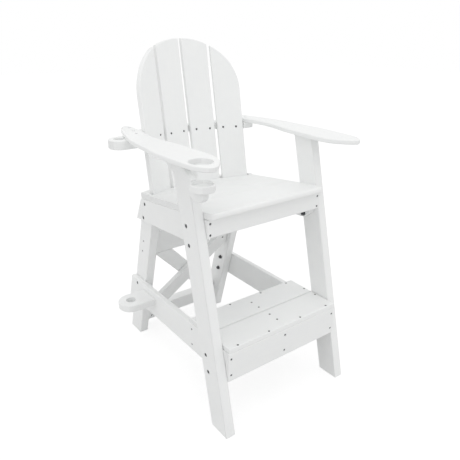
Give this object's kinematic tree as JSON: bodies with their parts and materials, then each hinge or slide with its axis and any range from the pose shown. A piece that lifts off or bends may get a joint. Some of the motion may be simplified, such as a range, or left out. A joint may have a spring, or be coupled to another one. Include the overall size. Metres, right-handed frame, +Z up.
{
  "type": "lifeguard chair",
  "caption": "Tall white outdoor chair of bolted plastic boards with splayed legs, a step, wide arms, a dished fan back, a cup holder and an umbrella holder.",
  "frame": {"origin": "on the ground, under the middle of the bounding box", "axes": "+Z up, +Y from the front of the chair to its rear, +X to the sitter's left"},
  "size_m": [0.7434, 0.8324, 1.2658],
  "materials": {
    "white_board": "satin, lightly grained",
    "steel": "dulled"
  },
  "bodies": {
    "root": {"arm_left": "white_board", "arm_right": "white_board", "arm_screw_left_1": "steel", "arm_screw_left_2": "steel", "arm_screw_right_1": "steel", "arm_screw_right_2": "steel", "arm_screw_right_3": "steel", "back_slat_inner_left": "white_board", "back_slat_inner_right": "white_board", "back_slat_outer_left": "white_board", "back_slat_outer_right": "white_board", "cup_holder_plate": "white_board", "cup_holder_strut": "white_board", "front_brace": "white_board", "front_leg_bolt_left_1": "steel", "front_leg_bolt_left_2": "steel", "front_leg_bolt_left_3": "steel", "front_leg_bolt_left_4": "steel", "front_leg_bolt_right_1": "steel", "front_leg_bolt_right_2": "steel", "front_leg_bolt_right_3": "steel", "front_leg_bolt_right_4": "steel", "front_leg_left": "white_board", "front_leg_right": "white_board", "lower_back_rail": "white_board", "lower_cross_rail": "white_board", "lower_side_rail_left": "white_board", "lower_side_rail_right": "white_board", "rear_brace": "white_board", "rear_leg_bolt_left_1": "steel", "rear_leg_bolt_left_2": "steel", "rear_leg_bolt_left_3": "steel", "rear_leg_bolt_left_4": "steel", "rear_leg_bolt_right_1": "steel", "rear_leg_bolt_right_2": "steel", "rear_leg_bolt_right_3": "steel", "rear_leg_bolt_right_4": "steel", "rear_leg_left": "white_board", "rear_leg_right": "white_board", "seat_apron": "white_board", "seat_board_front": "white_board", "seat_board_rear": "white_board", "seat_board_second": "white_board", "seat_board_third": "white_board", "seat_rail_left": "white_board", "seat_rail_right": "white_board", "step_apron": "white_board", "step_centre_cleat": "white_board", "step_plank_front": "white_board", "step_plank_rear": "white_board", "step_rear_rail": "white_board", "umbrella_ring": "white_board", "umbrella_socket": "white_board", "upper_back_rail": "white_board", "upper_cross_rail": "white_board"}
  },
  "joints": []
}
